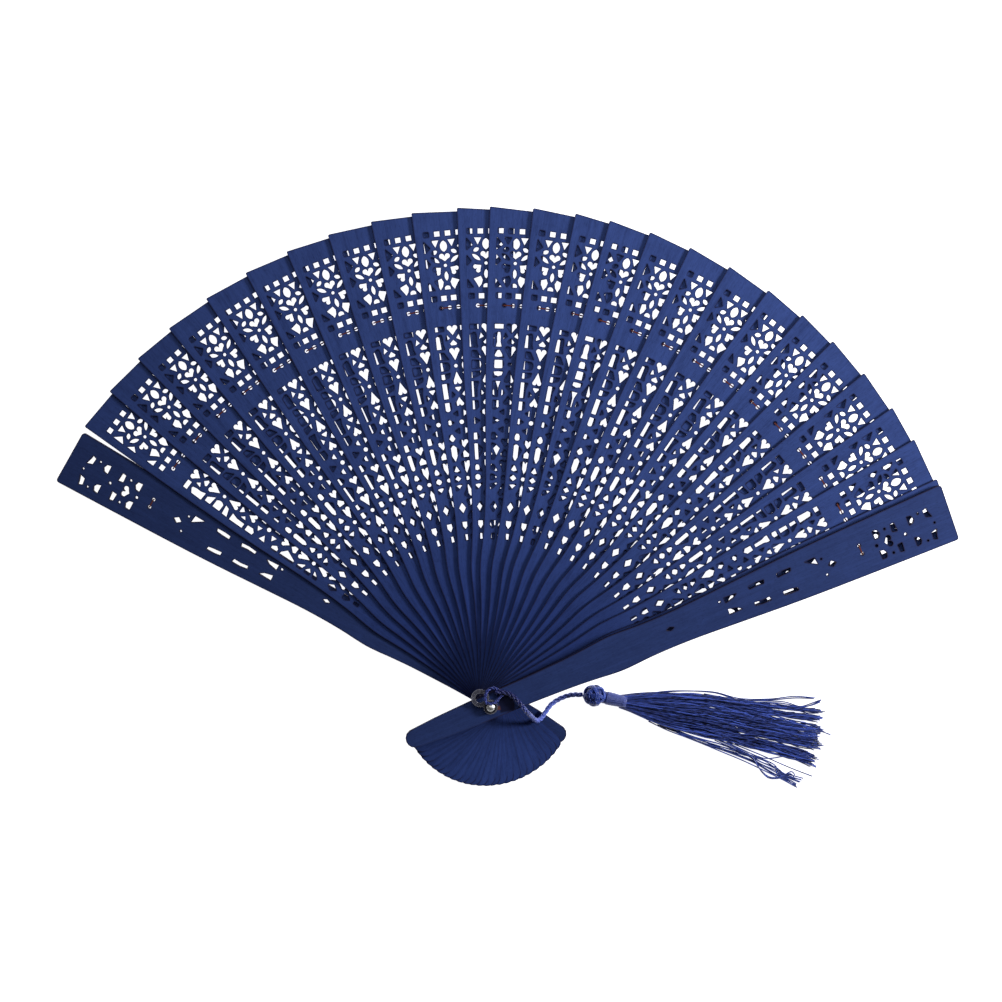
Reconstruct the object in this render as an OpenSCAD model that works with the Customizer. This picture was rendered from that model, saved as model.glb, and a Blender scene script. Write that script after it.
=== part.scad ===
// Sandalwood folding fan: pierced blades riveted together at the foot, laid
// open on a table, with a tassel looped to the rivet.
// The rivet's axis is Z, the back of the lowest guard lies on Z = 0, and the
// blades spread in X and Y with +Y between them.

/* [Blades] */
// Rivet axis to the tip of a blade
blade_r = 172; // [171:0.5:178]
// Half of a blade's width at the tip
tip_half = 9.95; // [9.6:0.05:10.6]
// Thickness of a pierced inner stick
stick_t = 0.66; // [0.5:0.01:0.8]
// Free height between two neighbouring blades
blade_gap = 0.2; // [0.2:0.01:0.3]
// Thickness of a guard, the outer blade on each face
guard_t = 1.85; // [1.4:0.05:2.4]
// Length of an inner stick behind the rivet
stick_tail = 30.5; // [27:0.5:31]
// Length of the right guard behind the rivet
guard_tail = 31.75; // [28:0.05:32]
// Length of the left guard behind the rivet
rear_tail = 30.6; // [28:0.05:32]
// How much a tip rises from one side to the other, per millimetre of width
tip_slant = 0.06; // [0:0.01:0.08]

/* [Fretwork] */
// How much smaller each opening is cut, all round, than it is laid out
cut_in = 0.12; // [0:0.01:0.15]

/* [Opening] */
// Direction of the left guard, degrees from +X
left_dir = 150.2; // [140:0.1:160]

/* [Rivet] */
// Radius of the pin
pin_r = 1.2; // [0.8:0.05:1.5]
// Clearance of each blade round the pin
pin_gap = 0.1; // [0.05:0.01:0.15]
// Radius of the flush rear head
rear_head_r = 2.4; // [2.0:0.1:2.8]
// Radius of the domed front head
front_head_r = 1.4; // [1.3:0.05:1.6]

/* [Thread] */
// Distance of the stringing holes from the rivet
thread_r = 138.7; // [138:0.1:139.5]
// Width of the stringing thread
thread_w = 0.45; // [0.3:0.05:0.5]
// Thickness of the thread where it lies flat between two blades
thread_t = 0.08; // [0.06:0.01:0.09]

/* [Tassel] */
// Diameter of the doubled cord
cord_d = 1.8; // [1.6:0.1:2]
// Radius of the ball knot
knot_r = 4.2; // [3.8:0.1:4.3]
// Radius of the bound neck
collar_r = 2.4; // [2:0.1:2.6]
// Thickness of the skirt at its free end
skirt_end_t = 1.5; // [1:0.1:2.5]

/* [Hidden] */
$fn = 72;
STICKS = 25;

// Angle from each blade to the one on its right, from the left guard to the
// right guard. The sticks were spread by hand, so the steps are uneven.
STEPS = [
  7.3, 5.1, 5.1, 5.1, 5.6, 5.5, 5.4, 5.2, 5.2, 4.8, 5.3, 3.8, 5.0,
  4.9, 4.0, 4.8, 4.9, 5.0, 5.2, 4.8, 4.6, 5.1, 5.1, 4.4, 5.2,
  0.7
];

// Half width of a blade against distance from the rivet. The last point is
// carried on to the tip in a straight line.
PROFILE = [
  [-20, 3.8], [-10, 4.2], [0, 4.4], [12, 4.5], [21, 4.75], [30, 5.1],
  [38, 5.7], [43, 6.2], [47.5, 6.45], [52, 6.3], [58, 5.95], [66, 5.85],
  [76, 6.1], [90, 6.9], [108, 7.95], [126, 8.7], [150, 9.4]
];

function two(i) = str(i < 10 ? "0" : "", i);
function stick_name(i) = str("stick_", two(i));
function thread_name(i) = str("thread_", two(i));
function turned(i) = i == 0 ? 0 : STEPS[i - 1] + turned(i - 1);
function dir_of(i) = left_dir - turned(i);

pitch = stick_t + blade_gap;
function stick_z(i) = guard_t + blade_gap + (i - 1) * pitch;
top_z = stick_z(STICKS + 1);
face_z = top_z + guard_t;
hole_r = pin_r + pin_gap;

// Catmull-Rom value between b and c
function mix(a, b, c, d, t) =
  0.5 * (2 * b + (c - a) * t + (2 * a - 5 * b + 4 * c - d) * t * t
  + (3 * b - a - 3 * c + d) * t * t * t);
function at(p, i) = p[max(0, min(len(p) - 1, i))];
function smooth(p, n) = concat(
  [for (i = [0 : len(p) - 2], k = [0 : n - 1])
    mix(at(p, i - 1), p[i], p[i + 1], at(p, i + 2), k / n)],
  [p[len(p) - 1]]
);

// Right side of the outline from the end of the tail to the tip corner
function side_points(tail, slant, corner) = concat(
  [[0, -tail], [1.3, -tail + 0.25], [2.4, -tail + 1.0], [3.1, -tail + 2.4]],
  [for (q = smooth(PROFILE, 3)) [q[1], q[0]]],
  [for (a = [0 : 30 : 90]) [
    tip_half - corner + corner * cos(a),
    blade_r - slant * tip_half - corner + corner * sin(a)
  ]]
);
function flipped(p) = [for (i = [len(p) - 1 : -1 : 1]) [-p[i][0], p[i][1]]];
module outline(tail, slant, corner) {
  polygon(concat(
    side_points(tail, slant, corner),
    flipped(side_points(tail, -slant, corner))
  ));
}

// A polygon with every side moved inwards by d
function twice_area(p, i = 0) =
  i == len(p) ? 0 : cross(p[i], at_loop(p, i + 1)) + twice_area(p, i + 1);
function at_loop(p, i) = p[(i + len(p)) % len(p)];
function inward(a, b, s) = s * [a[1] - b[1], b[0] - a[0]] / norm(b - a);
function narrowed(p, d) =
  let (s = twice_area(p) > 0 ? 1 : -1)
  [for (i = [0 : len(p) - 1])
    let (
      a = inward(at_loop(p, i - 1), p[i], s),
      b = inward(p[i], at_loop(p, i + 1), s)
    )
    p[i] + (a + b) * d / (1 + a * b)
  ];

// Motifs of the fretwork, each drawn round its own middle
module pair() {
  children();
  mirror([1, 0]) children();
}
module eyelet(x, y, d) {
  translate([x, y]) circle(d = d);
}
module dot(x, y, d) {
  eyelet(x, y, d - 2 * cut_in);
}
module opening(points) {
  polygon(narrowed(points, cut_in));
}
module block(x, y, w, h) {
  translate([x, y]) square([w - 2 * cut_in, h - 2 * cut_in], center = true);
}
module leaf(x, y, length, width, a = 0) {
  l = length - 2 * cut_in;
  w = width - 2 * cut_in;
  r = (l * l + w * w) / (4 * w);
  translate([x, y]) rotate(a) intersection() {
    translate([r - w / 2, 0]) circle(r);
    translate([w / 2 - r, 0]) circle(r);
  }
}
module heart(x, y, width, height, a = 0) {
  w = width - 2 * cut_in;
  h = height - 2 * cut_in;
  r = 0.235 * w;
  top = h / 2 - r;
  side = h > 0.9 * w ? 22 : 40;
  reach = 0.9 * r;
  translate([x, y]) rotate(a) {
    for (s = [-1, 1])
      translate([s * 0.265 * w, top]) circle(r);
    polygon([
      [0, -h / 2],
      [0.265 * w + reach * cos(side), top - reach * sin(side)],
      [0.265 * w, top], [0, top - 0.02 * w], [-0.265 * w, top],
      [-0.265 * w - reach * cos(side), top - reach * sin(side)]
    ]);
  }
}
module dome(x, y, width, height, a = 0) {
  w = width - 2 * cut_in;
  h = height - 2 * cut_in;
  r = (w * w / 4 + h * h) / (2 * h);
  translate([x, y]) rotate(a) translate([0, cut_in]) intersection() {
    translate([0, h - r]) circle(r);
    translate([-w / 2, 0]) square([w, h]);
  }
}

// Window at the tip: one flower of hearts and petals between rows of squares
module window_pattern() {
  for (k = [-1.5 : 1 : 1.5]) {
    block(3.75 * k, 164.5, 2.1, 2.0);
    block(3.4 * k, 142.05, 2.1, 2.0);
  }
  for (k = [-1 : 1])
    eyelet(3 * k, thread_r, 1.35);
  leaf(0, 160.1, 4.1, 2.7);
  heart(0, 156.2, 4.0, 2.9);
  dot(0, 153.4, 1.35);
  leaf(0, 149.7, 3.5, 1.6);
  dome(0, 144.9, 2.2, 1.6);
  pair() {
    opening([[-6.9, 162.5], [-6.9, 157.7], [-4.5, 159.7]]);
    opening([[-4.3, 162.4], [-1.4, 162.4], [-2.85, 159.6]]);
    leaf(-3.4, 158.1, 2.4, 1.6, -60);
    opening([[-6.8, 156.5], [-6.8, 152.3], [-4.9, 154.2]]);
    leaf(-3.4, 155.5, 3.8, 1.5, 53);
    heart(-2.75, 151.9, 3.4, 2.9, 127);
    opening([
      [-4.5, 148.1], [-1.8, 149.1], [-1.1, 147.6],
      [-1.5, 146.1], [-2.5, 144.8], [-3.2, 146.1]
    ]);
    opening([[-6.6, 148.2], [-6.6, 144.9], [-4.1, 144.9]]);
  }
}

// Middle column of the long lower band
module spine_pattern() {
  heart(0, 130.75, 3.8, 3.6);
  opening([
    [0, 127.5], [1.35, 126.1], [0.9, 125.4], [-0.9, 125.4], [-1.35, 126.1]
  ]);
  heart(0, 122.4, 3.8, 4.5);
  dot(0, 118.3, 1.45);
  heart(0, 114.1, 3.3, 4.6, 180);
  opening([
    [-1.1, 111.0], [1.1, 111.0], [1.1, 110.4], [0, 109.1], [-1.1, 110.4]
  ]);
  heart(0, 105.8, 3.1, 3.2, 180);
  dot(0, 98.6, 1.75);
  heart(0, 90.95, 3.2, 3.0);
  opening([[0, 88.8], [1.55, 87.1], [1.2, 86.1], [-1.2, 86.1], [-1.55, 87.1]]);
  heart(0, 82.8, 3.5, 4.5);
  dot(0, 78.8, 1.6);
  heart(0, 74.6, 3.5, 4.4, 180);
  heart(0, 70.2, 2.5, 2.8);
  heart(0, 66.05, 2.7, 3.1, 180);
  leaf(0, 61.8, 2.8, 2.0);
  block(0, 58.2, 2.0, 1.9);
  pair() {
    opening([[-2.1, 129.5], [-2.85, 126.9], [-0.95, 127.9]]);
    opening([[-2.35, 109.8], [-2.5, 107.1], [-1.05, 108.2]]);
    opening([[-0.95, 102.9], [-2.9, 101.7], [-0.85, 100.5]]);
    opening([[-0.85, 96.8], [-3.0, 95.6], [-0.85, 94.3]]);
  }
}

// Side columns of the lower band, drawn on the left and mirrored
module flank_pattern() {
  pair() {
    block(-4.4, 131.4, 3.3, 1.8);
    opening([
      [-6.1, 124.3], [-2.95, 124.1], [-3.5, 126.0],
      [-3.5, 127.9], [-3.8, 129.4], [-4.6, 129.6], [-6.1, 128.6]
    ]);
    opening([[-5.4, 123.2], [-3.6, 123.2], [-1.9, 120.4], [-5.4, 120.8]]);
    dome(-5.4, 118.25, 3.1, 3.4, -90);
    opening([[-5.5, 115.6], [-2.0, 116.1], [-2.5, 114.4], [-5.5, 113.3]]);
    opening([
      [-5.6, 112.4], [-2.8, 112.4], [-3.5, 110.1], [-3.5, 106.8], [-5.4, 106.8]
    ]);
    opening([
      [-5.3, 105.7], [-3.1, 105.7], [-2.9, 103.4], [-4.0, 102.3], [-5.2, 102.5]
    ]);
    opening([[-4.75, 100.0], [-4.75, 97.2], [-2.3, 98.6]]);
    opening([
      [-5.0, 94.4], [-3.7, 94.5], [-2.7, 92.9], [-3.6, 91.8], [-5.0, 91.9]
    ]);
    opening([
      [-4.9, 90.9], [-3.5, 90.6], [-1.7, 88.9], [-3.4, 84.9], [-4.6, 84.7]
    ]);
    opening([
      [-4.6, 83.4], [-3.4, 83.3], [-2.0, 80.9], [-2.5, 80.7], [-4.6, 81.4]
    ]);
    opening([
      [-4.6, 80.0], [-3.3, 79.9], [-2.1, 78.8], [-3.3, 77.7], [-4.6, 77.6]
    ]);
    opening([
      [-4.5, 76.4], [-1.9, 77.0], [-2.1, 76.4], [-3.3, 74.9], [-4.5, 74.4]
    ]);
    opening([[-2.85, 70.6], [-1.55, 68.5], [-2.85, 66.3], [-4.2, 68.5]]);
    opening([
      [-3.8, 63.7], [-1.75, 63.7], [-1.75, 62.0], [-2.75, 60.5], [-3.8, 62.0]
    ]);
    block(-2.55, 58.1, 1.2, 2.3);
  }
}

// Sparse carving of a guard. Its inner side, towards the sticks, is +X.
module guard_pattern() {
  translate([0, 94]) rotate(1) translate([0, -94]) {
    dot(0, 165.7, 1.0);
    dot(0, 155.0, 1.2);
    heart(0, 148.6, 4.2, 2.9);
    dot(0, 144.3, 1.3);
    opening([[0, 129.6], [1.25, 127.8], [0, 126.1], [-1.25, 127.8]]);
    opening([[0, 69.5], [0.8, 67.7], [0, 65.9], [-0.8, 67.7]]);
    opening([[1.4, 123.4], [4.4, 123.0], [4.2, 118.6]]);
    dot(2.3, 86.9, 1.1);
    pair() {
      opening([
        [-5.9, 164.8], [-5.3, 163.2], [-2.8, 163.5],
        [-2.1, 165.9], [-3.0, 165.5], [-4.5, 165.0]
      ]);
      dot(-5.0, 161.4, 1.0);
      opening([
        [-5.6, 157.2], [-2.1, 157.2], [-2.6, 158.9], [-3.8, 159.6], [-5.3, 158.9]
      ]);
      opening([[-5.4, 152.7], [-2.0, 153.0], [-2.3, 150.9], [-5.2, 151.1]]);
      dot(-4.4, 148.9, 1.1);
      opening([
        [-5.3, 144.4], [-2.0, 144.4], [-2.2, 146.0], [-3.6, 146.9], [-5.2, 146.3]
      ]);
      dot(-2.95, 124.9, 1.0);
      opening([
        [-4.3, 114.1], [-3.0, 113.7], [-2.7, 111.5],
        [-2.5, 108.5], [-4.0, 108.5], [-4.3, 110.8]
      ]);
      opening([
        [-3.9, 104.0], [-2.4, 103.6], [-2.6, 101.0],
        [-2.3, 98.0], [-3.6, 97.8], [-4.0, 100.8]
      ]);
      opening([[-3.0, 93.8], [-1.7, 91.8], [-1.0, 88.6], [-3.2, 88.5]]);
    }
  }
  for (s = [-1, 1])
    eyelet(1.5 * s, thread_r, 1.2);
}

// Turns a blade drawn along +Y to its own direction in the open fan
module placed(i, z) {
  translate([0, 0, z]) rotate(dir_of(i) - 90) children();
}

module stick(i) {
  color("navy") placed(i, stick_z(i)) difference() {
    linear_extrude(stick_t) outline(stick_tail, tip_slant, 0.5);
    translate([0, 0, -1]) linear_extrude(stick_t + 2) {
      window_pattern();
      spine_pattern();
      flank_pattern();
      circle(hole_r);
    }
  }
}

module guard_left() {
  color("midnightblue") placed(0, 0) difference() {
    linear_extrude(guard_t) outline(rear_tail, 0, 1.0);
    translate([0, 0, -1]) linear_extrude(guard_t + 2) {
      guard_pattern();
      circle(hole_r);
    }
    translate([0, 0, -1]) cylinder(r = rear_head_r + pin_gap, h = 1.7);
  }
}

module guard_right() {
  color("navy") placed(STICKS + 1, top_z) difference() {
    linear_extrude(guard_t) outline(guard_tail, tip_slant, 1.0);
    translate([0, 0, -1]) linear_extrude(guard_t + 2) {
      mirror([1, 0]) guard_pattern();
      circle(hole_r);
    }
  }
}

// One straight run of thread from x0 to x1 with its lower face at z
module run(x0, x1, z) {
  translate([x0 - thread_w / 2, thread_r - thread_w / 2, z])
    cube([x1 - x0 + thread_w, thread_w, thread_t]);
}
module plug(x, z0, z1) {
  translate([x, thread_r, z0]) cylinder(d = thread_w, h = z1 - z0);
}

// Thread of one stick: up the first hole, down the second, up the third and
// on towards the next stick. The last stick lies straight under the right
// guard and has no stitch of its own.
module thread(i) {
  t = stick_t + thread_t;
  color("saddlebrown") placed(i, stick_z(i)) {
    run(-3, 0, stick_t);
    run(0, 3, -thread_t);
    run(3, 7.6, stick_t);
    plug(-3, 0, t);
    plug(0, -thread_t, t);
    plug(3, -thread_t, t);
  }
}

module thread_left() {
  color("saddlebrown") placed(0, 0) {
    run(-1.5, 1.5, guard_t);
    for (s = [-1, 1])
      plug(1.5 * s, 0.4, guard_t + thread_t);
  }
}

module thread_right() {
  color("saddlebrown") placed(STICKS + 1, top_z) {
    run(-1.5, 1.5, guard_t);
    run(-7.6, -1.5, -thread_t);
    for (s = [-1, 1])
      plug(1.5 * s, -thread_t, guard_t + thread_t);
  }
}

// Rivet: flush rear head, pin through every blade, the link and the washer,
// and a domed front head
link_t = 0.8;
link_lift = 1.2;
washer_t = 0.28;
link_z = face_z + link_lift;
washer_z = link_z + link_t + 0.02;
module rivet() {
  color("silver") {
    cylinder(r = rear_head_r, h = 0.6);
    cylinder(r = pin_r, h = washer_z + washer_t + 0.1);
    translate([0, 0, washer_z + washer_t + 0.02]) rotate_extrude()
      intersection() {
        translate([0, 0.75 - 1.9]) circle(1.9);
        square([front_head_r, 0.75]);
      }
  }
}

module pivot_washer() {
  color("dimgray") translate([0, 0, washer_z]) difference() {
    cylinder(r = 2.02, h = washer_t);
    translate([0, 0, -1]) cylinder(r = pin_r + 0.02, h = washer_t + 2);
  }
}

// Moulded link: a raised eye on the rivet and one open ring for the cord
ring_at = [-3.6, 3.2];
ring_in = 1.65;
ring_out = 3.1;
eye_r = 2.45;
module cord_link() {
  color("lightsteelblue") {
    translate([0, 0, link_z]) linear_extrude(link_t) difference() {
      union() {
        circle(eye_r);
        translate(ring_at) circle(ring_out);
      }
      circle(hole_r + 0.05);
      translate(ring_at) circle(ring_in);
    }
    translate([0, 0, face_z + 0.02]) linear_extrude(link_lift) difference() {
      circle(eye_r);
      circle(hole_r + 0.05);
    }
  }
}

// Bight of the cord, up through the link's ring and over its rim
bight_r = 1.35;
bight_h = 1.1;
bight_w = 0.4;
bight_dir = 24;
link_mid = link_z + link_t / 2;
rim = (ring_in + ring_out) / 2;
rim_at = ring_at + rim * [cos(bight_dir), sin(bight_dir)];
BIGHT = [for (a = [-50 : -20 : -290]) [
  rim_at[0] + bight_r * cos(a) * cos(bight_dir),
  rim_at[1] + bight_r * cos(a) * sin(bight_dir),
  link_mid + bight_h * sin(a)
]];

// Route of the doubled cord, from the bight over the guard, down past the
// tails to the table and up to the knot
ROUTE = [
  [1.6, 5.2, 27.3], [3.65, 5.35, 27.05], [6, 4.85, 26.9], [8.2, 3.4, 26.9],
  [9.8, 1.75, 27.05], [11.3, -0.3, 26.55], [12.65, -2.2, 24.85],
  [13.6, -3.7, 21.2], [14.4, -5.2, 16.5], [15.2, -6.7, 11.5], [16.3, -8, 7.25],
  [17.9, -7.5, 4.7], [19.45, -5.6, 2.95], [21.35, -3.15, 2], [24.2, -1.2, 1.35],
  [27.4, 0.15, 1.7], [30, 0.7, 2.8], [32.45, 0.75, 3.9]
];
function unit(v) = v / norm(v);
function heading(p, i) = unit(at(p, i + 1) - at(p, i - 1));
// A direction across the path at each point, carried along it with no twist
function carried(p, s, i = 0) = i == len(p) ? [] :
  let (d = heading(p, i), t = unit(s - (s * d) * d))
  concat([t], carried(p, t, i + 1));
function ring_points(c, d, s, r, n) =
  let (t = cross(s, d))
  [for (k = [0 : n - 1]) c + r * (cos(360 * k / n) * s + sin(360 * k / n) * t)];
module tube(p, r, across, n) {
  m = len(p);
  s = carried(p, across);
  points = [for (i = [0 : m - 1])
    each ring_points(p[i], heading(p, i), s[i], r[i], n)];
  sides = [for (i = [0 : m - 2], k = [0 : n - 1])
    [i * n + k, i * n + (k + 1) % n, (i + 1) * n + (k + 1) % n, (i + 1) * n + k]];
  polyhedron(points, concat(
    [[for (k = [n - 1 : -1 : 0]) k]],
    sides,
    [[for (k = [0 : n - 1]) (m - 1) * n + k]]
  ));
}

// The bight is one strand and the rest is two, so the cord widens after it
module tassel_cord() {
  path = concat(BIGHT, smooth(ROUTE, 2));
  first = len(BIGHT);
  widths = [for (i = [0 : len(path) - 1])
    bight_w + (cord_d / 2 - bight_w) * max(0, min(1, (i - first + 1) / 5))];
  across = [-sin(bight_dir), cos(bight_dir), 0];
  color("royalblue") tube(path, widths, across, 8);
}

knot_at = [36.8, 0.6, 4.2];
module tassel_knot() {
  color("royalblue") translate(knot_at) sphere(knot_r);
}

neck_from = [41.15, -0.4, 3.3];
neck_turn = -13;
neck_l = 6.4;
module tassel_collar() {
  color("mediumblue") translate(neck_from) rotate([0, 90, neck_turn])
    cylinder(r = collar_r, h = neck_l);
}

// Skirt of loose threads, as one wedge that lies on the table
module tassel_skirt() {
  color("royalblue") intersection() {
    linear_extrude(6) polygon([
      [47.9, 0.2], [56, 1.4], [66, 2], [78, 1.3], [86, -0.7], [102, -1.2],
      [116, -0.9], [116.8, -9], [115.5, -18], [113, -27.3], [96, -23.6],
      [85, -20], [71, -14.7], [59, -10], [52, -7], [47.9, -4.4]
    ]);
    translate([0, 10, 0]) rotate([90, 0, 0]) linear_extrude(60) polygon([
      [40, 0], [130, 0], [130, skirt_end_t], [116, skirt_end_t],
      [80, 3.0], [47, 5.0], [40, 5.0]
    ]);
  }
}

guard_left();
guard_right();
for (i = [1 : STICKS])
  stick(i);
for (i = [1 : STICKS - 1])
  thread(i);
thread_left();
thread_right();
rivet();
pivot_washer();
cord_link();
tassel_cord();
tassel_knot();
tassel_collar();
tassel_skirt();
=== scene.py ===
import math
import random

import bpy
from mathutils import Matrix, Vector


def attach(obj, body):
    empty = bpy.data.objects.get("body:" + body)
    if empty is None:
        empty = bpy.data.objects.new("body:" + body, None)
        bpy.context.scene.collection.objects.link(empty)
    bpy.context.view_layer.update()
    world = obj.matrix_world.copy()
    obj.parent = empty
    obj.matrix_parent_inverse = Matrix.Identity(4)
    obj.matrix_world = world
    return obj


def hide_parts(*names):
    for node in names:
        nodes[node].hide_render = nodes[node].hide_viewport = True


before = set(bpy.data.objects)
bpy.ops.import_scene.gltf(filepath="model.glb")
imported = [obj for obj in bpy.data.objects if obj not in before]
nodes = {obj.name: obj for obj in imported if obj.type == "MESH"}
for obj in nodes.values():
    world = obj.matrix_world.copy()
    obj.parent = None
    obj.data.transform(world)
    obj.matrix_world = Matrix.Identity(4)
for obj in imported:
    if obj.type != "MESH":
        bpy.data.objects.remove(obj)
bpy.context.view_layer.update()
MM = 0.001

# Camera: over the fan, as far above it as a hand-held shot, tilted a little
CAMERA_AT = (0.0036, 0.1212, 0.7997)
CAMERA_TILT = -3.69
CAMERA_LENS = 81.0

# The cord's route from the link to the knot, in metres, as in the CAD
ROUTE = [Vector(p) * MM for p in (
    (1.6, 5.2, 27.3), (3.65, 5.35, 27.05), (6, 4.85, 26.9), (8.2, 3.4, 26.9),
    (9.8, 1.75, 27.05), (11.3, -0.3, 26.55), (12.65, -2.2, 24.85),
    (13.6, -3.7, 21.2), (14.4, -5.2, 16.5), (15.2, -6.7, 11.5),
    (16.3, -8, 7.25), (17.9, -7.5, 4.7), (19.45, -5.6, 2.95),
    (21.35, -3.15, 2), (24.2, -1.2, 1.35), (27.4, 0.15, 1.7),
    (30, 0.7, 2.8), (32.45, 0.75, 3.9),
)]
CORD_D = 1.8 * MM


def make_camera():
    data = bpy.data.cameras.new("camera")
    data.lens = CAMERA_LENS
    data.sensor_width = 36.0
    camera = bpy.data.objects.new("camera", data)
    camera.location = CAMERA_AT
    camera.rotation_euler = (math.radians(CAMERA_TILT), 0, 0)
    bpy.context.scene.collection.objects.link(camera)
    bpy.context.scene.camera = camera


# ---- curves and tubes ----

def catmull(a, b, c, d, t):
    return 0.5 * (
        2 * b + (c - a) * t + (2 * a - 5 * b + 4 * c - d) * t * t
        + (3 * b - a - 3 * c + d) * t * t * t
    )


def smooth(points, n):
    """n points for each step of a curve through the given points."""
    last = len(points) - 1
    out = []
    for i in range(last):
        quad = [points[max(0, min(last, i + k))] for k in (-1, 0, 1, 2)]
        out += [catmull(*quad, k / n) for k in range(n)]
    return out + [points[-1]]


def frames(points):
    """A tangent and two cross directions at each point, with no twist."""
    last = len(points) - 1
    tangents = [
        (points[min(last, i + 1)] - points[max(0, i - 1)]).normalized()
        for i in range(len(points))
    ]
    side = tangents[0].cross(Vector((0.31, 0.17, 1.0))).normalized()
    out = []
    for t in tangents:
        side = (side - t * side.dot(t)).normalized()
        out.append((t, side, t.cross(side)))
    return out


def lengths(points):
    """The distance along a line at each of its points."""
    total = [0.0]
    for a, b in zip(points, points[1:]):
        total.append(total[-1] + (b - a).length)
    return total


def at_distance(table, x):
    """The table's value at x, in a straight line between its rows."""
    for (x0, y0), (x1, y1) in zip(table, table[1:]):
        if x <= x1:
            return y0 + (y1 - y0) * max(0.0, (x - x0) / (x1 - x0))
    return table[-1][1]


class Builder:
    """Collects tubes with a UV map: u runs along a tube in millimetres, v once round it."""

    def __init__(self):
        self.points = []
        self.faces = []
        self.uvs = []
        self.tone = []

    def tube(self, points, radius, sides, tone, closed=False, squash=1.0, start=0.0):
        """A tube along points. radius and tone are numbers, or functions of the share of its length.

        squash flattens its section, and start is where the UV map's u begins.
        """
        first = len(self.points)
        along = lengths(points)
        rings = []
        for i, (p, (t, s, n)) in enumerate(zip(points, frames(points))):
            share = along[i] / max(along[-1], 1e-9)
            r = radius(share) if callable(radius) else radius
            shade = tone(share) if callable(tone) else tone
            rings.append(len(self.points))
            for k in range(sides):
                a = 2 * math.pi * k / sides
                self.points.append(p + s * (r * math.cos(a)) + n * (r * squash * math.sin(a)))
                self.tone.append(shade)
        count = len(rings)
        for i in range(count if closed else count - 1):
            j = (i + 1) % count
            u0 = start + along[i] / MM
            u1 = start + (along[i] + (points[j] - points[i]).length) / MM
            for k in range(sides):
                m = (k + 1) % sides
                self.faces.append((
                    first + i * sides + k, first + i * sides + m,
                    first + j * sides + m, first + j * sides + k,
                ))
                self.uvs.append((
                    (u0, k / sides), (u0, (k + 1) / sides),
                    (u1, (k + 1) / sides), (u1, k / sides),
                ))
        if not closed:
            for i, order in ((0, -1), (count - 1, 1)):
                ring = [first + i * sides + k for k in range(sides)][::order]
                self.faces.append(tuple(ring))
                self.uvs.append(tuple((along[i] / MM, k / sides) for k in range(sides)))

    def finish(self, name, material):
        mesh = bpy.data.meshes.new(name)
        mesh.from_pydata([tuple(p) for p in self.points], [], self.faces)
        layer = mesh.uv_layers.new(name="along")
        flat = [c for face in self.uvs for uv in face for c in uv]
        layer.data.foreach_set("uv", flat)
        tone = mesh.attributes.new("tone", "FLOAT", "POINT")
        tone.data.foreach_set("value", self.tone)
        mesh.polygons.foreach_set("use_smooth", [True] * len(mesh.polygons))
        mesh.materials.append(material)
        mesh.update()
        piece = bpy.data.objects.new(name, mesh)
        bpy.context.scene.collection.objects.link(piece)
        return piece


def twisted(points, offset, turns_per_mm, phase):
    """A line that winds round another one."""
    along = lengths(points)
    out = []
    for p, u, (t, s, n) in zip(points, along, frames(points)):
        a = phase + 2 * math.pi * turns_per_mm * u / MM
        out.append(p + s * (offset * math.cos(a)) + n * (offset * math.sin(a)))
    return out


# ---- materials ----

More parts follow.
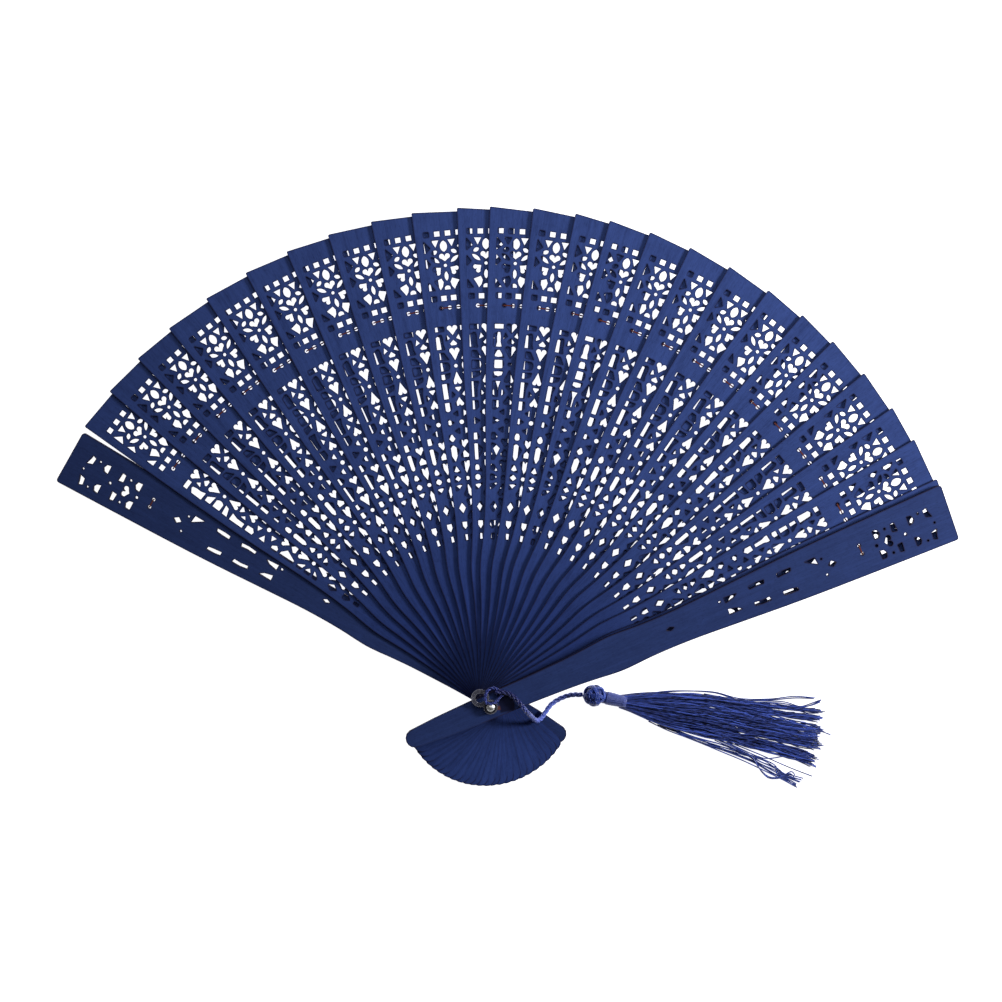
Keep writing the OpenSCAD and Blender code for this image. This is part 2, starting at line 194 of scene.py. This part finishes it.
class Nodes:
    """A short way to write a material's node tree."""

    def __init__(self, name):
        self.material = bpy.data.materials.new(name)
        self.material.use_nodes = True
        self.tree = self.material.node_tree
        self.shader = self.tree.nodes["Principled BSDF"]

    def add(self, kind, **settings):
        node = self.tree.nodes.new(kind)
        for key, value in settings.items():
            setattr(node, key, value)
        return node

    def link(self, a, b):
        self.tree.links.new(a, b)

    def fill(self, socket, value):
        if isinstance(value, bpy.types.NodeSocket):
            self.link(value, socket)
        else:
            socket.default_value = value

    def math(self, operation, *values):
        node = self.add("ShaderNodeMath", operation=operation)
        for socket, value in zip(node.inputs, values):
            self.fill(socket, value)
        return node.outputs[0]

    def noise(self, vector, detail, roughness=0.5):
        node = self.add("ShaderNodeTexNoise")
        self.link(vector, node.inputs["Vector"])
        node.inputs["Scale"].default_value = 1.0
        node.inputs["Detail"].default_value = detail
        node.inputs["Roughness"].default_value = roughness
        return node.outputs["Fac"]

    def mapped(self, vector, scale, angle=0.0, move=(0, 0, 0)):
        """The vector in units of scale, along axes turned by angle."""
        node = self.add("ShaderNodeMapping", vector_type="TEXTURE")
        node.inputs["Location"].default_value = move
        node.inputs["Rotation"].default_value = (0, 0, angle)
        node.inputs["Scale"].default_value = scale
        self.link(vector, node.inputs["Vector"])
        return node.outputs[0]

    def ramp(self, fac, *stops):
        node = self.add("ShaderNodeValToRGB")
        ramp = node.color_ramp
        while len(ramp.elements) < len(stops):
            ramp.elements.new(0.5)
        for element, (at, colour) in zip(ramp.elements, stops):
            element.position = at
            element.color = (*colour, 1)
        self.link(fac, node.inputs["Fac"])
        return node.outputs["Color"]

    def mix(self, fac, a, b, blend="MIX"):
        node = self.add("ShaderNodeMix", data_type="RGBA", blend_type=blend)
        self.fill(node.inputs["Factor"], fac)
        for socket, value in ((node.inputs[6], a), (node.inputs[7], b)):
            if isinstance(value, tuple):
                value = (*value, 1)
            self.fill(socket, value)
        return node.outputs[2]

    def range(self, value, low, high, to_low=0.0, to_high=1.0):
        node = self.add("ShaderNodeMapRange")
        self.link(value, node.inputs["Value"])
        node.inputs["From Min"].default_value = low
        node.inputs["From Max"].default_value = high
        node.inputs["To Min"].default_value = to_low
        node.inputs["To Max"].default_value = to_high
        return node.outputs[0]

    def rims(self, reach):
        """Low on a surface within reach of its own edges, 1 elsewhere."""
        node = self.add("ShaderNodeAmbientOcclusion", inside=True, only_local=True, samples=8)
        node.inputs["Distance"].default_value = reach
        return node.outputs["AO"]

    def bump(self, height, distance, strength):
        node = self.add("ShaderNodeBump")
        node.inputs["Distance"].default_value = distance
        node.inputs["Strength"].default_value = strength
        self.link(height, node.inputs["Height"])
        self.link(node.outputs["Normal"], self.shader.inputs["Normal"])

    def surface(self, colour, roughness, **values):
        self.fill(self.shader.inputs["Base Color"], colour)
        self.fill(self.shader.inputs["Roughness"], roughness)
        for key, value in values.items():
            socket = key.replace("_", " ").title().replace("Ior", "IOR")
            self.shader.inputs[socket].default_value = value


def scaled(colour, share):
    return tuple(c * share for c in colour)


def patch(m, place, corners, soft):
    """1 inside a convex shape given clockwise in millimetres of the blade's own plan, 0 outside."""
    mask = None
    for i, (x0, y0) in enumerate(corners):
        x1, y1 = corners[(i + 1) % len(corners)]
        inward = Vector((y1 - y0, x0 - x1, 0)).normalized()
        dot = m.add("ShaderNodeVectorMath", operation="DOT_PRODUCT")
        m.link(place, dot.inputs[0])
        dot.inputs[1].default_value = inward
        depth = inward.x * x0 + inward.y * y0
        side = m.range(dot.outputs["Value"], depth - soft, depth + soft)
        mask = side if mask is None else m.math("MULTIPLY", mask, side)
    return mask


# Where one look of a blade turns into the next, in millimetres from the rivet: where the painted shade
# near the rivet doubles and where it fades out, and the sides and end of the tail
UNSHADED_FROM = (34.0, 78.0)
DARKEST = (6.0, 18.0)
TAIL_SIDE = (-6.0, -1.0)
TAIL_END = (-28.8, -27.2)

# How far the scorch reaches from a cut, and how much of the wood's own colour is left
SCORCH_REACH = 0.55 * MM
SCORCH_LEAVES = 0.12
TAIL_LEAVES = 0.82

# Marks on the right guard, across and along it, and their colours: a painted shadow of the cord, and bare
# wood
CORD_SHADOW_MARK = ((-5.1, 4.2), (-0.3, 9.2), (4.6, 7.2), (3.4, 2.2))
CORD_SHADOW_COLOUR = (0.0045, 0.0045, 0.022)
BARE_MARK = ((0.6, 1.5), (1.0, 3.0), (2.4, 2.75), (2.1, 1.6))
BARE_COLOUR = (0.13, 0.050, 0.042)


def dyed_wood(name, direction, seed, light, dark, edge, pivot_shade, cord_shadow=False):
    """Dyed wood with its grain along direction, in degrees from +X, and burnt rims where it was cut.

    The tint given after edge is painted shade near the rivet. It counts twice at the neck.
    """
    m = Nodes(name)
    place = m.add("ShaderNodeTexCoord").outputs["Object"]
    turned = math.radians(direction - 90)
    move = (seed * 0.37, seed * 0.53, 0)
    fibre = m.noise(m.mapped(place, (0.32 * MM, 9 * MM, 0.6 * MM), turned, move), 3.0, 0.6)
    streak = m.noise(m.mapped(place, (1.3 * MM, 45 * MM, 2 * MM), turned, move), 2.0, 0.5)
    cloud = m.noise(m.mapped(place, (5 * MM, 9 * MM, 5 * MM), turned, move), 3.0, 0.6)
    fleck = m.noise(m.mapped(place, (0.8 * MM, 1.9 * MM, 1.0 * MM), turned, move), 2.0, 0.6)
    pore = m.noise(m.mapped(place, (0.12 * MM, 1.4 * MM, 0.2 * MM), turned, move), 1.0, 0.5)
    grain = m.math("MULTIPLY_ADD", fibre, 0.35, m.math("MULTIPLY", streak, 0.28))
    grain = m.math("MULTIPLY_ADD", cloud, 0.32, grain)
    grain = m.math("MULTIPLY_ADD", fleck, 0.20, grain)
    colour = m.ramp(
        grain, (0.42, dark), (0.57, scaled(light, 0.90)), (0.72, scaled(light, 1.08)),
    )
    pits = m.range(pore, 0.30, 0.42, 0.72, 1.0)
    colour = m.mix(1.0, colour, m.ramp(pits, (0.0, (0, 0, 0)), (1.0, (1, 1, 1))), "MULTIPLY")

    # Painted shade: darker round the rivet, and darker again at the neck
    own = m.mapped(place, (MM, MM, MM), turned)
    split = m.add("ShaderNodeSeparateXYZ")
    m.link(own, split.inputs[0])
    along = split.outputs["Y"]
    painted_light = m.mix(1.0, colour, pivot_shade, "MULTIPLY")
    painted_light = m.mix(m.range(along, *DARKEST), painted_light, m.mix(1.0, painted_light, pivot_shade, "MULTIPLY"))
    colour = m.mix(m.range(along, *UNSHADED_FROM), painted_light, colour)

    if cord_shadow:
        # A painted shadow of the cord, dark on the guard under it, and bare wood beside the rivet
        mark = m.math("MULTIPLY", patch(m, own, CORD_SHADOW_MARK, 0.35), m.range(cloud, 0.3, 0.6, 0.80, 0.95))
        colour = m.mix(mark, colour, CORD_SHADOW_COLOUR)
        colour = m.mix(patch(m, own, BARE_MARK, 0.25), colour, BARE_COLOUR)

    # The scorched line along every cut, faint on the sides of the tail, and the cut walls
    unburnt = m.range(m.rims(SCORCH_REACH), 0.58, 0.96, SCORCH_LEAVES, 1.0)
    tail = m.math("MULTIPLY", m.range(along, *TAIL_END), m.range(along, *TAIL_SIDE, 1.0, 0.0))
    unburnt = m.math("MAXIMUM", unburnt, m.math("MULTIPLY", tail, TAIL_LEAVES))
    colour = m.mix(unburnt, edge, colour)
    facing = m.add("ShaderNodeSeparateXYZ")
    m.link(m.add("ShaderNodeNewGeometry").outputs["True Normal"], facing.inputs[0])
    flat = m.range(m.math("ABSOLUTE", facing.outputs["Z"]), 0.3, 0.7)
    colour = m.mix(flat, edge, colour)
    m.surface(colour, m.range(grain, 0.4, 0.75, 0.66, 0.54), specular_ior_level=0.12)
    m.bump(m.math("MULTIPLY_ADD", pits, 0.5, grain), 0.05 * MM, 0.45)
    return m.material


def string_material():
    m = Nodes("string")
    place = m.add("ShaderNodeTexCoord").outputs["Object"]
    fuzz = m.noise(m.mapped(place, (0.12 * MM, 0.12 * MM, 0.12 * MM)), 2.0)
    colour = m.ramp(fuzz, (0.35, (0.05, 0.012, 0.012)), (0.65, (0.19, 0.05, 0.035)))
    m.surface(colour, 0.8, specular_ior_level=0.2)
    m.bump(fuzz, 0.05 * MM, 0.8)
    return m.material


def rivet_material():
    m = Nodes("rivet_metal")
    place = m.add("ShaderNodeTexCoord").outputs["Object"]
    wear = m.noise(m.mapped(place, (0.5 * MM, 0.5 * MM, 0.5 * MM)), 4.0, 0.6)
    scratch = m.noise(m.mapped(place, (2 * MM, 0.08 * MM, 0.5 * MM), 0.5), 2.0)
    colour = m.ramp(wear, (0.3, (0.86, 0.86, 0.86)), (0.7, (0.97, 0.97, 0.98)))
    m.surface(colour, m.range(scratch, 0.3, 0.7, 0.34, 0.48), metallic=1.0)
    m.bump(scratch, 0.01 * MM, 0.3)
    return m.material


def washer_material():
    m = Nodes("washer_metal")
    place = m.add("ShaderNodeTexCoord").outputs["Object"]
    wear = m.noise(m.mapped(place, (0.4 * MM, 0.4 * MM, 0.4 * MM)), 3.0)
    colour = m.ramp(wear, (0.3, (0.006, 0.006, 0.010)), (0.75, (0.024, 0.024, 0.034)))
    m.surface(colour, m.range(wear, 0.3, 0.7, 0.5, 0.7), specular_ior_level=0.25)
    m.bump(wear, 0.02 * MM, 0.4)
    return m.material


def plastic_material():
    """Clear moulded plastic, smoky inside, with a painted highlight on its rims."""
    m = Nodes("link_plastic")
    place = m.add("ShaderNodeTexCoord").outputs["Object"]
    haze = m.noise(m.mapped(place, (0.9 * MM, 0.9 * MM, 0.9 * MM)), 3.0)
    colour = m.ramp(haze, (0.3, (0.20, 0.20, 0.27)), (0.7, (0.34, 0.34, 0.42)))
    # Painted highlight: the rims are painted pale where light catches them
    painted_light = m.range(m.rims(0.4 * MM), 0.60, 0.92, 1.0, 0.0)
    colour = m.mix(painted_light, colour, (0.70, 0.70, 0.80))
    m.surface(colour, m.range(haze, 0.3, 0.7, 0.14, 0.28), transmission_weight=0.75, ior=1.46)
    m.bump(haze, 0.03 * MM, 0.3)
    return m.material


def yarn(name, light, dark, pitch, plies, roughness=0.42, relief=0.7):
    """Shiny twisted rayon, lighter where the tone is high. The twist follows the tube's own UV map."""
    m = Nodes(name)
    along = m.add("ShaderNodeUVMap", uv_map="along").outputs["UV"]
    uv = m.add("ShaderNodeSeparateXYZ")
    m.link(along, uv.inputs[0])
    tone = m.add("ShaderNodeAttribute", attribute_name="tone").outputs["Fac"]
    turn = m.math("MULTIPLY_ADD", uv.outputs["X"], 1 / pitch, m.math("MULTIPLY", uv.outputs["Y"], plies))
    wave = m.math("SINE", m.math("MULTIPLY", turn, 2 * math.pi))
    ply = m.range(wave, -1.0, 1.0)
    place = m.add("ShaderNodeTexCoord").outputs["Object"]
    fluff = m.noise(m.mapped(place, (0.25 * MM, 0.25 * MM, 0.25 * MM)), 2.0)
    glint = m.noise(m.mapped(along, (2.6, 1.4, 1.0)), 2.0, 0.6)
    mixed = m.math("MULTIPLY_ADD", ply, 0.30 * relief, m.math("MULTIPLY", fluff, 0.25))
    mixed = m.math("MULTIPLY_ADD", m.range(glint, 0.3, 0.7), 0.35, mixed)
    mixed = m.math("MULTIPLY_ADD", tone, 0.45, mixed)
    colour = m.ramp(mixed, (0.22, dark), (0.60, scaled(light, 0.6)), (1.0, light))
    m.surface(
        colour, roughness, specular_ior_level=0.4, sheen_weight=0.12, sheen_roughness=0.35,
        anisotropic=0.4,
    )
    m.bump(ply, 0.12 * MM, relief)
    return m.material


# ---- stage ----

FLOOR_HALF = 1.5
FLOOR_DROP = 0.0001
WORLD_STRENGTH = 0.06

# Lights: name, place, what they aim at, width and power
LIGHTS = (
    ("key", (0.48, 0.14, 0.26), (0, 0.07, 0), 0.13, 2.5),
    ("top", (0.05, 0.36, 0.50), (0.02, 0.10, 0), 0.50, 0.95),
)


def make_floor():
    """A plain white table that the fan lies on."""
    half = FLOOR_HALF
    mesh = bpy.data.meshes.new("floor")
    corners = [(-half, -half, 0), (half, -half, 0), (half, half, 0), (-half, half, 0)]
    mesh.from_pydata(corners, [], [(0, 1, 2, 3)])
    floor = bpy.data.objects.new("floor", mesh)
    floor.location.z = -FLOOR_DROP
    bpy.context.scene.collection.objects.link(floor)
    m = Nodes("floor")
    m.surface((0.80, 0.80, 0.80, 1), 0.9, specular_ior_level=0.1)
    m.shader.inputs["Emission Color"].default_value = (1, 1, 1, 1)
    m.shader.inputs["Emission Strength"].default_value = 1.0
    mesh.materials.append(m.material)


def make_light():
    world = bpy.data.worlds.new("studio")
    world.use_nodes = True
    background = world.node_tree.nodes["Background"]
    background.inputs["Color"].default_value = (1, 1, 1, 1)
    background.inputs["Strength"].default_value = WORLD_STRENGTH
    bpy.context.scene.world = world
    bpy.context.scene.view_settings.view_transform = "Standard"
    for name, at, aim, width, power in LIGHTS:
        data = bpy.data.lights.new(name, "AREA")
        data.shape = "DISK"
        data.size = width
        data.energy = power
        light = bpy.data.objects.new(name, data)
        light.location = at
        light.rotation_euler = (Vector(aim) - Vector(at)).to_track_quat("-Z", "Y").to_euler()
        bpy.context.scene.collection.objects.link(light)


# ---- cord and tassel ----

# Tone along the cord, as painted light: painted shade over the guard, and a painted highlight where it
# turns at the table
CORD_LIGHT_AND_SHADE = (
    (0, -0.6), (0.12, -0.55), (0.22, -0.1), (0.32, 0.3), (0.5, 0.35), (0.58, 1.0), (0.68, 1.05), (1, 0.6),
)
# Millimetres of cord for one turn of its strands
CORD_LAY = 6.0


def make_cord():
    """Three strands, each half as thick as the cord, twisted round one line."""
    line = smooth(ROUTE, 10)
    b = Builder()
    strand_r = CORD_D / 4
    for phase in (0.0, 2.1, 4.2):
        strand = twisted(line, strand_r, 1 / CORD_LAY, phase)
        b.tube(strand, strand_r, 10, lambda share: at_distance(CORD_LIGHT_AND_SHADE, share))
    cord = b.finish("cord_strands", yarn("cord", (0.13, 0.19, 0.70), (0.008, 0.012, 0.10), 0.9, 2.0))
    return cord, line


# The bight's route, the tone along it and its lay; the tone is dark at both ends as painted shade, where
# they run under the painted shadow of the cord
BIGHT = [Vector(p) * MM for p in (
    (4.4, 4.3, 26.3), (3.2, 3.3, 26.5), (2.4, 2.4, 27.2), (1.5, 1.75, 28.2), (0.3, 1.5, 28.5),
    (-1.2, 1.6, 28.4), (-1.85, 2.8, 28.15), (-1.75, 4.2, 28.1), (-1.25, 5.6, 28.1),
    (-0.1, 6.65, 28.1), (1.3, 6.75, 27.8), (2.6, 6.0, 27.0), (4.0, 5.2, 26.6),
)]
BIGHT_SHADE_TONE = ((0, 0.0), (0.22, 0.0), (0.30, 0.25), (0.68, 0.25), (0.80, 0.0), (1, 0.0))
BIGHT_LAY = 2.9


def make_hitch():
    """The bight of the cord, up through the link's ring and over its rim."""
    b = Builder()
    line = smooth(BIGHT, 10)
    for phase in (0.0, math.pi):
        strand = twisted(line, 0.30 * MM, 1 / BIGHT_LAY, phase)
        b.tube(strand, 0.31 * MM, 8, lambda share: at_distance(BIGHT_SHADE_TONE, share))
    return b.finish("cord_hitch", yarn("hitch", (0.08, 0.12, 0.60), (0.004, 0.006, 0.05), 0.7, 2.0))


KNOT_AT = Vector((36.8, 0.6, 4.2)) * MM
KNOT_R = 3.50
KNOT_CORE_R = 3.3 * MM
KNOT_LEADS = 5
KNOT_BIGHTS = 4
# Degrees from the middle of the ball to the turns at its ends
KNOT_REACH = 66


def make_knot():
    """A ball knot: leads of trebled cord, woven over and under round a core."""
    b = Builder()
    steps = 560
    turn = Matrix.Rotation(math.radians(20), 3, "X") @ Matrix.Rotation(math.radians(-12), 3, "Y")
    for side in (-1, 0, 1):
        line = []
        for i in range(steps):
            t = 2 * math.pi * KNOT_LEADS * i / steps
            phi = KNOT_BIGHTS * t / KNOT_LEADS
            weave = math.cos(KNOT_LEADS * phi) * max(-1.0, min(1.0, 2.2 * math.sin(phi)))
            polar = math.radians(90 - KNOT_REACH * math.cos(phi)) + side * 0.17
            r = (KNOT_R + 0.16 * weave) * MM
            around = t + side * 0.06 * math.sin(phi)
            p = Vector((
                1.06 * r * math.sin(polar) * math.cos(around),
                0.97 * r * math.sin(polar) * math.sin(around),
                r * math.cos(polar),
            ))
            line.append(KNOT_AT + turn @ p)
        b.tube(line, 0.40 * MM, 8, 0.42, closed=True)
    ball = b.finish("knot_windings", yarn("knot", (0.055, 0.115, 0.58), (0.003, 0.006, 0.070), 0.8, 2.0))

    core = Builder()
    across = Vector((KNOT_CORE_R, 0, 0))
    line = [KNOT_AT - across * math.cos(math.pi * i / 12) for i in range(13)]
    core.tube(line, lambda share: KNOT_CORE_R * math.sqrt(max(0.0001, 1 - (2 * share - 1) ** 2)), 24, 0.0)
    inside = core.finish("knot_core", bpy.data.materials["knot"])
    return ball, inside


NECK_FROM = Vector((41.15, -0.4, 3.3)) * MM
NECK_TURN = math.radians(-13)
NECK_L = 6.4 * MM
NECK_R = 2.22
NECK_TAPER = 0.22
NECK_TURNS = 26


def make_neck():
    """Fine thread wound tightly round the top of the skirt."""
    b = Builder()
    axis = Vector((math.cos(NECK_TURN), math.sin(NECK_TURN), 0))
    side = Vector((-axis.y, axis.x, 0))
    up = Vector((0, 0, 1))
    per_turn = 20
    steps = NECK_TURNS * per_turn
    line = []
    for i in range(steps + 1):
        a = 2 * math.pi * i / per_turn
        share = i / steps
        uneven = 0.04 * math.sin(5.0 * share) + 0.02 * math.sin(37 * share)
        r = (NECK_R - NECK_TAPER * share + uneven) * MM
        line.append(
            NECK_FROM + axis * (share * NECK_L)
            + side * (r * math.cos(a)) + up * (r * math.sin(a))
        )
    b.tube(line, 0.17 * MM, 6, 0.72)
    ends = (-1.2 * MM, 0.5 * NECK_L, NECK_L + 0.8 * MM)
    core = [NECK_FROM + axis * u for u in ends]
    b.tube(core, lambda share: (NECK_R - 0.02 - NECK_TAPER * share) * MM, 24, 0.45)
    return b.finish("neck_windings", yarn("neck", (0.11, 0.15, 0.50), (0.012, 0.018, 0.12), 0.8, 1.0))


# Plan of the skirt's main body: edge towards the fan and far edge against distance
TOP = (
    (46.6, 0.1), (50.9, 0.7), (56.6, 1.1), (63, 1.4), (74.6, 0.8), (83.5, -0.6),
    (90.7, -1.7), (97.8, -2.9), (106.7, -4.0), (118, -5.0),
)
LOW = (
    (46.6, -4.0), (51, -6.2), (57.9, -9.3), (65.4, -12.2), (71.1, -13.4), (79.0, -15.3),
    (88.5, -17.8), (94.8, -19.2), (101.2, -20.8), (107.7, -23.2), (118, -26.6),
)
HIGH = ((46.6, 4.9), (60, 4.3), (80, 3.2), (100, 2.1), (118, 1.5))


def skirt_point(x, u, w):
    """A point of the skirt: u across it and w up it, both from 0 to 1."""
    top, low, high = at_distance(TOP, x), at_distance(LOW, x), at_distance(HIGH, x)
    return Vector((x, top + (low - top) * u, 0.3 + w * (high - 0.6)))


# Threads that have left the body of the skirt: how many lie together, and their plan points
STRAYS = (
    (4, (
        (56, -8.4), (63, -11.4), (69.4, -14.2), (75.8, -17.0), (82.3, -19.3), (88.6, -21.8),
        (94.9, -24.4), (100.2, -27.6), (105.2, -30.3), (109.4, -32.5),
    )),
    (3, (
        (60, -9.8), (71.2, -14.5), (82.3, -17.9), (90.9, -21.0), (96.3, -23.9), (101.6, -26.3),
        (105.8, -29.0), (111.0, -31.2),
    )),
    (2, (
        (64, -11.4), (74.8, -16.2), (89.1, -20.4), (97.0, -22.8), (101.4, -25.6), (103.0, -28.0),
        (106.6, -28.9), (111.2, -29.8),
    )),
    (2, (
        (80, -15.6), (89.5, -19.6), (93.5, -22.2), (96.2, -26.6), (99.6, -29.2), (103.6, -29.2),
        (106.4, -27.6), (108.6, -29.0),
    )),
    (1, (
        (82, -15.2), (90.9, -18.9), (98.1, -22.0), (107.0, -25.9), (115.3, -29.2),
    )),
    (1, (
        (84, -16.6), (95, -21.6), (100, -22.4), (106, -21.6), (112, -23.2), (116, -25.4),
    )),
    (2, (
        (52, 0.6), (62.1, 1.7), (71.0, 2.0), (79.9, 1.2), (88.8, -1.2), (99.5, -1.2), (108.4, -0.3),
        (116.0, -0.9),
    )),
    (3, (
        (76, 0.4), (88.9, -2.0), (97.8, -2.1), (104.9, -2.8), (110.3, -3.9), (114.6, -3.0),
        (117.8, -1.9),
    )),
    (1, (
        (92, -10.4), (104, -11.6), (112.3, -12.5), (117.6, -12.9), (121.2, -14.2),
    )),
)


# Locks and threads, in millimetres like the plan
LOCKS = 22
LOCK_START = 46.0
LOCK_Z = 0.62
LOCK_R = 0.62
CLUMPS = 30
THREADS = 235
THREAD_START = 45.6
THREAD_END = 117.0
THREAD_R = 0.22

# A full turn in radians, for the phases of the waves
FULL_TURN = 6.28

# Most threads are dark, and one in six catches the light
THREAD_TONES = (0.0, 0.0, 0.0, 0.0, 0.3, 1.1)

# Share of a thread's length over which the skirt flattens from the round neck
FLATTENS = 0.25


def lock_radius(share):
    """Full for most of a lock, and tapered over its last quarter."""
    return LOCK_R * MM * min(1.0, 4.0 * (1.02 - share))


def add_locks(b, rng):
    """Thick dark locks low in the skirt's upper half, so that it is dense there."""
    for k in range(LOCKS):
        u = (k + 0.5) / LOCKS
        stop = rng.uniform(62, 84)
        sway = rng.uniform(0, FULL_TURN)
        line = []
        for i in range(12):
            x = LOCK_START + (stop - LOCK_START) * i / 11
            p = skirt_point(x, 0.04 + 0.92 * u, 0.0)
            p.y += 0.25 * math.sin(x / 6 + sway)
            p.z = LOCK_Z
            line.append(p * MM)
        b.tube(smooth(line, 2), lock_radius, 6, 0.0, squash=0.8)


def add_threads(b, rng):
    """Wavy threads that spread from the neck and gather in clumps at the cut end."""
    clumps = []
    for k in range(CLUMPS):
        share = (k + rng.uniform(0.05, 0.95)) / CLUMPS
        clumps.append((share, min(0.98, max(0.01, share + rng.gauss(0, 0.03)))))
    for n in range(THREADS):
        start, end = clumps[n % len(clumps)]
        u0 = min(0.97, max(0.03, start + rng.gauss(0, 0.08)))
        u1 = min(0.99, max(0.01, end + rng.gauss(0, 0.013)))
        w0, w1 = rng.random(), rng.random()
        # The far half of the cut end slants back, and one thread in ten is shorter
        stop = THREAD_END - 5.5 * max(0.0, u1 - 0.5) + rng.gauss(0, 1.0)
        if rng.random() < 0.10:
            stop -= rng.uniform(1.0, 7.0)
        waves = [
            (rng.uniform(0.15, 0.60), rng.uniform(14, 34), rng.uniform(0, FULL_TURN)),
            (rng.uniform(0.05, 0.28), rng.uniform(5, 11), rng.uniform(0, FULL_TURN)),
        ]
        lift = rng.uniform(0, FULL_TURN)
        line = []
        steps = 17
        for i in range(steps):
            s = i / (steps - 1)
            x = THREAD_START + (stop - THREAD_START) * s
            u = u0 + (u1 - u0) * s ** 0.8
            w = w0 + (w1 - w0) * s
            if s < FLATTENS:
                limit = math.sqrt(max(0.0, 1 - (2 * u - 1) ** 2))
                w = 0.5 + (w - 0.5) * (limit + (1 - limit) * (1 - (1 - s / FLATTENS) ** 2))
            p = skirt_point(x, u, w)
            fade = min(1, 2 * s)
            sway = sum(size * math.sin(2 * math.pi * x / pitch + phase) for size, pitch, phase in waves)
            p.y += sway * fade
            p.z = max(0.27, p.z + 0.2 * math.sin(x / 4 + lift) * fade)
            line.append(p * MM)
        tone = rng.choice(THREAD_TONES)
        b.tube(smooth(line, 2), THREAD_R * MM, 5, tone, start=rng.uniform(0, 90))


def add_strays(b, rng):
    """Threads on their own routes, which sink to the table towards their ends."""
    for count, stray in STRAYS:
        for k in range(count):
            line = []
            for i, (x, y) in enumerate(stray):
                spread = 0.42 * (k - (count - 1) / 2) + rng.gauss(0, 0.18)
                z = 0.45 + 1.3 * (1 - i / (len(stray) - 1)) + 0.3 * rng.random()
                line.append(Vector((x + rng.gauss(0, 0.3), y + spread, z)) * MM)
            tone = rng.uniform(0.1, 0.5)
            b.tube(smooth(line, 7), 0.23 * MM, 5, tone, start=rng.uniform(0, 90))


def make_skirt():
    """Loose threads from the neck, over thicker locks."""
    rng = random.Random(21)
    b = Builder()
    add_locks(b, rng)
    add_threads(b, rng)
    add_strays(b, rng)
    return b.finish(
        "skirt_threads", yarn("tassel", (0.065, 0.120, 0.57), (0.0015, 0.003, 0.034), 3.1, 1.0, 0.34, 0.5),
    )


make_camera()
cord, cord_line = make_cord()
hitch = make_hitch()
knot, knot_core = make_knot()
neck = make_neck()
skirt = make_skirt()
for piece in (cord, hitch, knot, knot_core, neck, skirt):
    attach(piece, "tassel")
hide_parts("tassel_cord")
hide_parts("tassel_knot")
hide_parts("tassel_collar")
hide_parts("tassel_skirt")

make_floor()
make_light()


# ---- finish of the CAD nodes ----

def direction_of(node):
    """Direction of a blade from the rivet to its tip, degrees from +X."""
    far = [v.co for v in node.data.vertices if v.co.xy.length > 0.1]
    x = sum(p.x for p in far) / len(far)
    y = sum(p.y for p in far) / len(far)
    return math.degrees(math.atan2(y, x))


def paint(node, material):
    """Gives a CAD node one material."""
    node.data.materials.clear()
    node.data.materials.append(material)


LIGHT = (0.036, 0.068, 0.245)
DARK = (0.022, 0.042, 0.160)
EDGE = (0.011, 0.008, 0.030)
GUARD_EDGE = (0.020, 0.014, 0.036)
# Tints of painted shade near the rivet: one for the sticks, and none for the guards
STICK_PIVOT_SHADE = (0.76, 0.80, 0.88)
GUARD_PIVOT_SHADE = (1.0, 1.0, 1.0)
# The guards' share of the sticks' colours
GUARD_SHARE = {"guard_left": 0.66, "guard_right": 0.70}

rng = random.Random(5)
string = string_material()
for name, node in nodes.items():
    if name.startswith("stick_"):
        # Painted light: the sticks are painted up to a quarter lighter towards the middle of the fan,
        # where most light falls, over a small random tone
        across = (int(name[-2:]) - 2) / 20
        share = rng.uniform(0.95, 1.0) + 0.25 * max(0.0, math.sin(math.pi * across))
        paint(node, dyed_wood(
            "wood_" + name, direction_of(node), rng.uniform(0, 50),
            scaled(LIGHT, share), scaled(DARK, share), EDGE, STICK_PIVOT_SHADE,
        ))
    elif name.startswith("guard_"):
        share = GUARD_SHARE[name]
        paint(node, dyed_wood(
            "wood_" + name, direction_of(node), rng.uniform(0, 50),
            scaled(LIGHT, share), scaled(DARK, share * 1.15), GUARD_EDGE, GUARD_PIVOT_SHADE,
            cord_shadow=name == "guard_right",
        ))
    elif name.startswith("thread_"):
        paint(node, string)
paint(nodes["rivet"], rivet_material())
paint(nodes["pivot_washer"], washer_material())
paint(nodes["cord_link"], plastic_material())
